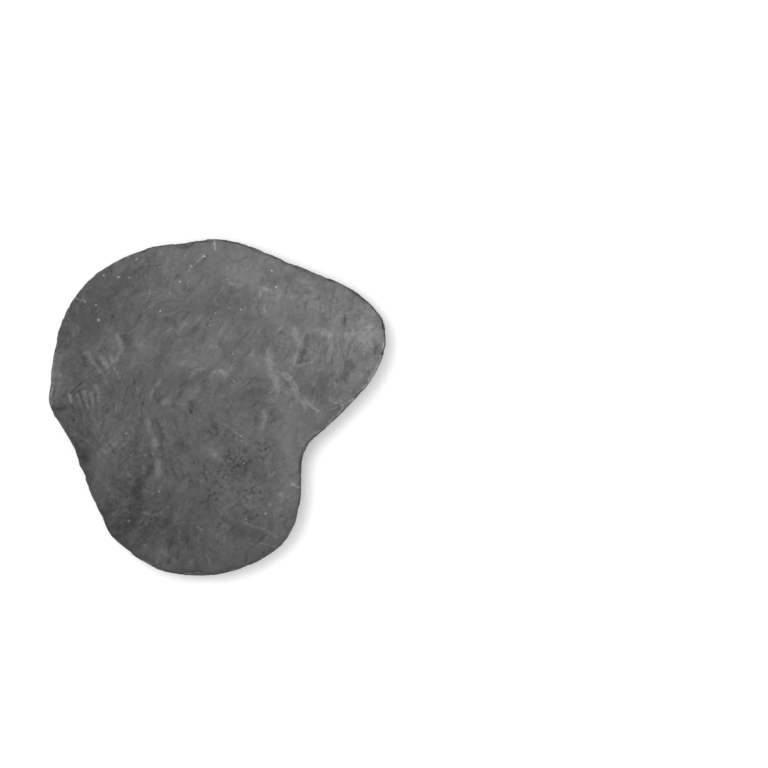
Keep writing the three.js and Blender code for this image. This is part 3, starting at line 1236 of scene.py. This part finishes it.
# the grooves between ribs and beside the pale scratches of the largest mark, darkened with painted shade,
# and hairline cracks: the same, in steps darker
GROOVES = (
    ((-159, 64), (-144, 47), 0.9, 15), ((-143, 69), (-139, 57), 0.8, 12),
    ((-163, 61), (-154, 45), 0.8, 11), ((-131, 56), (-150, 43), 0.9, 16),
    ((-150, 43), (-176, 33), 0.8, 12), ((-176, 33), (-191, 19), 1.0, 16),
    ((-131, 55), (-130, 34), 0.7, 11), ((-149, 44), (-145, 32), 0.7, 10),
    ((-180, 20), (-170, 26), 0.9, 14), ((-178, 18), (-171, 0), 0.9, 13),
    ((-168, 18), (-165, 4), 0.9, 13), ((-160, 19), (-157, 5), 0.8, 11),
    ((-151, 22), (-150, 6), 0.8, 9), ((-113, 36), (-118, 19), 0.8, 10),
    ((-118, 19), (-124, 3), 0.9, 13), ((-110, 177), (-95, 183), 0.8, 13),
    ((-95, 183), (-70, 186), 0.8, 13), ((147, -5), (155, -2), 0.8, 13),
    ((68, 70), (71, 61), 0.7, 10), ((79, 54), (83, 47), 0.7, 9),
    ((87, 37), (94, 27), 1.0, 13), ((98, 53), (105, 63), 0.8, 10),
    ((-150, 66), (-141, 51), 0.7, 9),
)
LINE_CORE = 0.3  # shares of the half width: where a line begins to fade, and where it is gone
LINE_RIM = 1.4


def hairlines(lines, sign):
    """Draws thin straight lines, lighter than the stone or, with a sign of -1, darker."""
    total = 0.0
    for start, end, half_width, steps in lines:
        length = math.dist(start, end)
        direction = ((end[0] - start[0]) / length, (end[1] - start[1]) / length, 0.0)
        from_start = vector_step("SUBTRACT", from_above, (*start, 0.0))
        run = vector_step("DOT_PRODUCT", from_start, direction)
        run = calculate("MINIMUM", calculate("MAXIMUM", run, 0.0), length)
        nearest = vector_step("SCALE", direction, run)
        away = vector_step("DISTANCE", from_start, nearest)
        faded = ramp(away, LINE_CORE * half_width, LINE_RIM * half_width, sign * steps, 0.0)
        total = sum_of(total, faded)
    return total


scratches = hairlines(SCRATCHES, 1.0)
# painted shade in the grooves, and dark hairline cracks
grooves = hairlines(GROOVES, -1.0)

# %% [markdown]
# On the broken edge the slate shows flat flakes that overlap like roof tiles seen from the side. A
# Voronoi texture gives such cells: each has its own tone, and dark seams part them. Squeezed to a few
# millimetres of height and drawn out sideways, the cells become flakes.

# %% Flakes on the broken edge
SEAM_WIDTH = 0.09  # share of a flake


def flakes(length, tall, seed):
    """Each flake's own tone from about -0.5 to 0.5, and the seams between flakes from 0 to 1."""
    at = mapped(bedded, length, None, tall, 0.0, seed)
    cells = net.nodes.new("ShaderNodeTexVoronoi")
    seams = net.nodes.new("ShaderNodeTexVoronoi")
    seams.feature = "DISTANCE_TO_EDGE"
    for pattern in (cells, seams):
        put(at, pattern.inputs["Vector"])
        pattern.inputs["Scale"].default_value = 1.0
    own_tone = calculate("SUBTRACT", cells.outputs["Color"], 0.5)
    return own_tone, ramp(seams.outputs["Distance"], 0.0, SEAM_WIDTH, 1.0, 0.0)


broken = stored("broken")
large_flakes, large_seams = flakes(26.0, 3.4, 12.0)
small_flakes, small_seams = flakes(9.0, 1.5, 13.0)
flake_tone = times(sum_of(times(large_flakes, 22.0), times(small_flakes, 13.0)), broken)
seam_tone = times(sum_of(times(large_seams, -13.0), times(small_seams, -6.0)), broken)

# %% [markdown]
# Most patterns below are lines of the same kind: the size of the grain in mm comes first, and the
# last number says by how many steps it lightens and darkens the stone. Sizes from one millimetre to a
# hand's width are mixed, because a single size would look like wallpaper.

# %% Grain and marks
PALE_STEPS = 20.0
# the dark marks are partly painted shade beside the pale hackles
DARK_STEPS = -21.0
CHIP_STEPS = 30.0
# steps of painted shade on the dark stretches of the rim
PAINTED_RIM_SHADE_STEPS = 8.0

walked = stored("walked")
unbroken = calculate("SUBTRACT", 1.0, broken)
fine = grain(1.5, detail=3.0, seed=3.0)
fine_grain = times(fine, sum_of(4.7, times(stored("pitted"), 3.6)))
medium = grain(4.4, detail=3.0, swirl=0.8, seed=2.0)
mottle = grain(8.5, detail=2.0, swirl=0.5, seed=14.0)
crumbs = sum_of(times(grain(2.6, detail=3.0, seed=15.0), 0.3), times(mottle, 0.18))
pale_marks = times(crumbled(stored("pale"), crumbs, 0.26, 0.92), PALE_STEPS)
dark_marks = times(crumbled(stored("dark"), crumbs, 0.26, 0.86), DARK_STEPS)
worn_and_shaded_rim = stored("worn_and_shaded_rim")
rim_chips = times(crumbled(worn_and_shaded_rim, crumbs, 0.5, 0.78), CHIP_STEPS)
# the rim's dark stretches are painted shade, where the rim turns away from the light
painted_rim_shade = times(calculate("MINIMUM", worn_and_shaded_rim, 0.0), PAINTED_RIM_SHADE_STEPS)

# %% Patterns of the walking face
smudges = times(grain(13.0, detail=4.0, swirl=1.4, seed=1.0), 4.6)
large_facets = times(facets(17.0, 30.0, 62.0, 30.0), 13.0)
small_facets = times(facets(7.0, 12.0, 50.0, 32.0), 7.0)
wide = feathers(34.0, 1.5, detail=2.0, drawn_out=70.0, lean=62.0, swirl=0.9, seed=10.0)
wide_feathers = times(wide, ramp(grain(40.0, seed=16.0), -0.2, 0.5), 12.0)
small = feathers(15.0, 1.3, detail=2.0, drawn_out=34.0, lean=58.0, swirl=1.1, seed=11.0)
small_feathers = times(small, ramp(grain(30.0, seed=17.0), -0.1, 0.5), 10.0)
slanting = times(grain(3.6, at=bent, drawn_out=28.0, lean=50.0, seed=4.0), stored("slanted"), 7.0)
combing = times(grain(4.0, at=bent, drawn_out=30.0, lean=96.0, seed=5.0), stored("combed"), 7.0)
pit_grain = grain(4.6, detail=2.5, seed=6.0)
pit_floors = ramp(pit_grain, 0.05, 0.6, 0.0, -21.0)
pit_rims = ramp(pit_grain, -0.7, -0.15, 9.0, 0.0)
pits = times(sum_of(pit_floors, pit_rims), stored("pitted"))

# %% Patterns of the underside and the edge
underneath = calculate("SUBTRACT", unbroken, walked)
riven = times(feathers(110.0, 2.0, detail=3.5, seed=18.0), underneath, 16.0)
layering = times(grain(22.0, at=bedded, detail=4.0, tall=0.8, seed=7.0), broken, 9.0)
splinters = times(grain(2.4, at=bedded, detail=3.0, tall=5.0, seed=8.0), broken, 5.0)

# %% Add up the colour
MIDDLE_GREY = 77.0
SCREEN_STEPS = 255.0
SCREEN_CURVE = 2.2

face_pattern = sum_of(smudges, times(medium, 2.9), times(mottle, 3.6), large_facets, small_facets,
                      wide_feathers, small_feathers, slanting, combing, pits)
top_pattern = sum_of(bruises, scratches, grooves, pale_marks, dark_marks, rim_chips, painted_rim_shade)
edge_pattern = sum_of(layering, splinters, flake_tone, seam_tone)
steps = sum_of(stored("tone"), fine_grain, times(face_pattern, unbroken), times(top_pattern, walked),
               riven, edge_pattern, MIDDLE_GREY)
shown = calculate("DIVIDE", steps, SCREEN_STEPS, clamp=True)
linear_grey = calculate("POWER", shown, SCREEN_CURVE)
net.links.new(linear_grey, shader.inputs["Base Color"])

# %% [markdown]
# Rubbed slate has a low sheen, a little brighter where the smudges are pale and duller on the broken
# edge. The smallest relief, a few hundredths of a millimetre on most of the walking face and a few
# tenths on the edge, is too fine for the skin's points. It comes from the same patterns as the
# colour, through a bump: what looks like a pit also catches the light like one.

# %% Sheen and the smallest relief
SHEEN = 0.42
ROUGHNESS_OF_FACE = 0.66
MORE_ON_EDGE = 0.08

shader.inputs["Specular IOR Level"].default_value = SHEEN
gloss = sum_of(ROUGHNESS_OF_FACE, times(smudges, -0.01), times(broken, MORE_ON_EDGE), times(fine, 0.03))
net.links.new(gloss, shader.inputs["Roughness"])

# each last number turns a pattern's steps, or a plain grain, into mm of height
relief = sum_of(
    times(fine, 0.07),
    times(medium, 0.07),
    times(pale_marks, walked, 0.006),
    times(dark_marks, walked, 0.012),
    times(pits, 0.014),
    times(slanting, 0.01),
    times(small_feathers, unbroken, 0.008),
    times(riven, 0.04),
    times(layering, 0.045),
    times(splinters, 0.03),
    times(flake_tone, 0.03),
    times(seam_tone, 0.03),
)
bump = net.nodes.new("ShaderNodeBump")
bump.inputs["Strength"].default_value = 1.0
bump.inputs["Distance"].default_value = MM
net.links.new(relief, bump.inputs["Height"])
net.links.new(bump.outputs["Normal"], shader.inputs["Normal"])
skin.materials.append(slate)
print(len(net.nodes), "nodes in the slate finish")

# %% Tell the frame what this piece is
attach(slab, "root")
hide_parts(SOLID_NAME)

# %% [markdown]
# ## Floor, light and camera
#
# A dark matt stone shows best on a pale floor in broad, soft light. A white world lights it from all
# round, and one large lamp high on the left, a little beyond the slab, gives the relief a direction.
# The camera looks straight down through a long lens, so that the outline stays true.

# %% Floor
FLOOR_REACH = 30.0  # metres from the middle to each side
FLOOR_PALENESS = 0.98
FLOOR_LOOKS = {
    "Base Color": (FLOOR_PALENESS, FLOOR_PALENESS, FLOOR_PALENESS, 1.0),
    "Roughness": 0.9,
    "Specular IOR Level": 0.1,
}

corner_signs = ((-1, -1), (1, -1), (1, 1), (-1, 1))
floor_corners = [(FLOOR_REACH * x, FLOOR_REACH * y, 0.0) for x, y in corner_signs]
floor_mesh = bpy.data.meshes.new("floor")
floor_mesh.from_pydata(floor_corners, [], [(0, 1, 2, 3)])
floor = bpy.data.objects.new("floor", floor_mesh)
bpy.context.scene.collection.objects.link(floor)
paint = bpy.data.materials.new("pale_floor")
paint.use_nodes = True
for socket_name, value in FLOOR_LOOKS.items():
    paint.node_tree.nodes["Principled BSDF"].inputs[socket_name].default_value = value
floor_mesh.materials.append(paint)
floor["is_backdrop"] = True

# %% Light
WORLD_STRENGTH = 1.04
LAMP_PLACE = (-1.6, 1.1, 2.9)  # metres
LAMP_SIZE = 2.2
LAMP_WATTS = 50.0

world = bpy.data.worlds.new("studio")
world.use_nodes = True
world.node_tree.nodes["Background"].inputs["Color"].default_value = (1.0, 1.0, 1.0, 1.0)
world.node_tree.nodes["Background"].inputs["Strength"].default_value = WORLD_STRENGTH
bpy.context.scene.world = world
bpy.context.scene.view_settings.view_transform = "Standard"


def soft_lamp(name, position, size, watts):
    """A square lamp that faces the slab."""
    lamp = bpy.data.lights.new(name, "AREA")
    lamp.size = size
    lamp.energy = watts
    holder = bpy.data.objects.new(name, lamp)
    holder.location = position
    holder.rotation_euler = (-Vector(position)).to_track_quat("-Z", "Y").to_euler()
    bpy.context.scene.collection.objects.link(holder)


soft_lamp("key_lamp", LAMP_PLACE, LAMP_SIZE, LAMP_WATTS)

# %% Camera
FIELD = 1.003  # metres that the picture takes in at the height of the slab's widest layer
FIELD_MIDDLE = (0.2174, 0.0307)  # metres; the slab lies at the left of the picture
LENS = 100.0  # mm
SENSOR = 36.0

camera_data = bpy.data.cameras.new("camera")
camera_data.lens = LENS
camera_data.sensor_width = SENSOR
camera = bpy.data.objects.new("camera", camera_data)
camera.location = (*FIELD_MIDDLE, WIDEST_SHARE * cad_high.z + FIELD * LENS / SENSOR)
bpy.context.scene.collection.objects.link(camera)
bpy.context.scene.camera = camera

# %% Measure the visual model's box and finish
low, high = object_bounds()
print("visual model, in mm:", [round((b - a) / MM, 1) for a, b in zip(low, high)])
